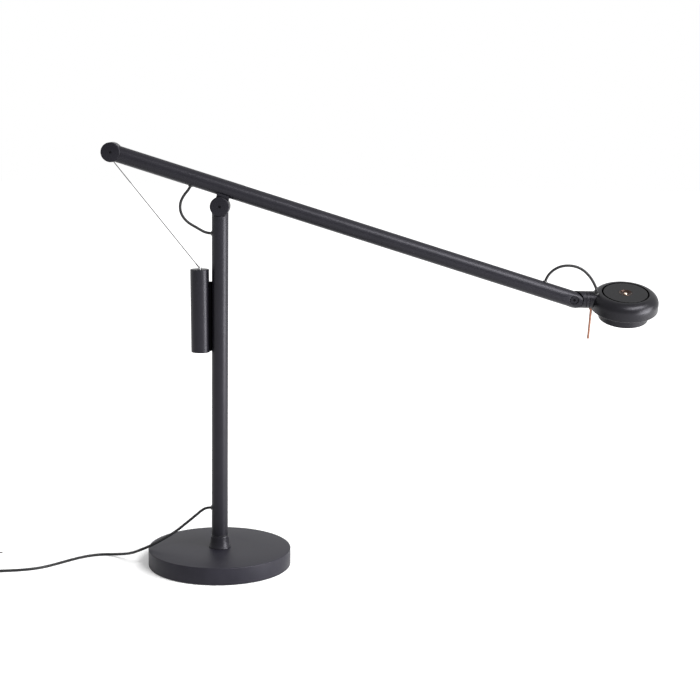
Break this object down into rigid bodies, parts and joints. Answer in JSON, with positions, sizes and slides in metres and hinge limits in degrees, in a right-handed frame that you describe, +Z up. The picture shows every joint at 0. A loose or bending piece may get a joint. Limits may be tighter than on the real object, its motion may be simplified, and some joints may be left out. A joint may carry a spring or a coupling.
{
  "type": "counterweight balance desk lamp",
  "caption": "Black balance desk lamp: round base, post with a sliding rod weight, tilting tube arm joined by a wire, disc head with copper touch parts.",
  "frame": {"origin": "centre of the base on the surface that it stands on", "axes": "+X towards the lamp head in the arm's swing plane, +Y away from the side pictured, +Z up"},
  "size_m": [0.8714, 0.18, 0.5302],
  "materials": {
    "black_coat": "matte powder coat",
    "black_tube": "matte black coat on aluminium",
    "brushed_black": "brushed, dark anodised",
    "copper": "satin copper colour",
    "steel": "plain steel",
    "pad": "matte",
    "grommet": "satin",
    "cord": "satin black sheath",
    "bush": "black nylon",
    "black_plastic": "fine texture",
    "white_plastic": "matte white",
    "diffuser": "frosted white",
    "chip": "yellow phosphor"
  },
  "bodies": {
    "base": {"base_disc": "black_coat", "base_pad": "pad", "foot_collar": "black_coat", "swivel_bush": "bush"},
    "post": {"swivel_spindle": "steel", "spindle_washer": "steel", "spindle_nut": "steel", "post_tube": "black_tube", "cord_grommet": "grommet", "loop_grommet": "grommet", "post_head": "black_coat", "pivot_screw": "black_coat", "pivot_nut": "black_coat", "pivot_washers": "bush", "post_lead": "cord", "power_cord": "cord", "cord_coil": "cord", "cord_tail": "cord", "cord_tie": "black_plastic", "plug": "black_plastic", "plug_pins": "steel"},
    "arm": {"arm_tube": "black_tube", "tail_grommet": "grommet", "top_grommet": "grommet", "arm_bracket": "black_coat", "bracket_clamp": "steel", "bracket_screws": "steel", "tail_barrel": "black_coat", "tail_screw": "black_coat", "tail_nut": "black_coat", "arm_lead": "cord", "pivot_cable": "cord", "arm_end": "black_coat"},
    "neck": {"neck_knuckle": "black_coat", "knuckle_screw": "steel", "swivel_ring": "black_tube", "neck_retainer": "steel"},
    "head": {"head_shell": "black_tube", "head_grommet": "grommet", "top_plate": "brushed_black", "plate_seal": "black_plastic", "led_board": "white_plastic", "led_chip": "chip", "button_switch": "black_plastic", "lower_collar": "black_tube", "reflector": "white_plastic", "diffuser": "diffuser", "lever": "copper", "lever_collar": "copper", "head_cable": "cord"},
    "button": {"button": "brushed_black", "button_core": "copper"},
    "weight": {"counterweight": "black_coat", "weight_runner": "black_tube", "runner_screws": "steel", "wire_anchor": "steel", "anchor_pin": "steel"},
    "wire": {"wire": "steel"}
  },
  "joints": [
    {"name": "post_swivel", "type": "hinge", "parent": "base", "child": "post", "pos_m": [0, 0, 0], "axis": [0, 0, 1], "range_deg": [-90, 90]},
    {"name": "arm_tilt", "type": "hinge", "parent": "post", "child": "arm", "pos_m": [0, 0, 0.4543], "axis": [0, 1, 0], "range_deg": [-20, 20], "deforming": ["pivot_cable"]},
    {"name": "weight_slide", "type": "slide", "parent": "post", "child": "weight", "axis": [0, 0, 1], "range_m": [-0.028, 0.028]},
    {"name": "wire_swing", "type": "hinge", "parent": "weight", "child": "wire", "pos_m": [-0.02527, 0, 0.37779], "axis": [0, 1, 0], "range_deg": [-10, 10]},
    {"name": "head_tilt", "type": "hinge", "parent": "arm", "child": "neck", "pos_m": [0.43693, 0, 0.3463], "axis": [0, 1, 0], "range_deg": [-30, 50], "deforming": ["head_cable"]},
    {"name": "head_turn", "type": "hinge", "parent": "neck", "child": "head", "pos_m": [0.43693, 0, 0.3463], "axis": [1, 0, 0], "range_deg": [-60, 40], "deforming": ["head_cable"]},
    {"name": "button_press", "type": "slide", "parent": "head", "child": "button", "axis": [0, 0.3239, -0.9461], "range_m": [0, 0.0008], "stiffness_N_per_m": 600, "springref_m": -0.0004}
  ],
  "couplings": [
    {"joint": "weight_slide", "follows": "arm_tilt", "m_per_rad": 0.07688},
    {"joint": "wire_swing", "follows": "arm_tilt", "ratio": 0.4818}
  ]
}
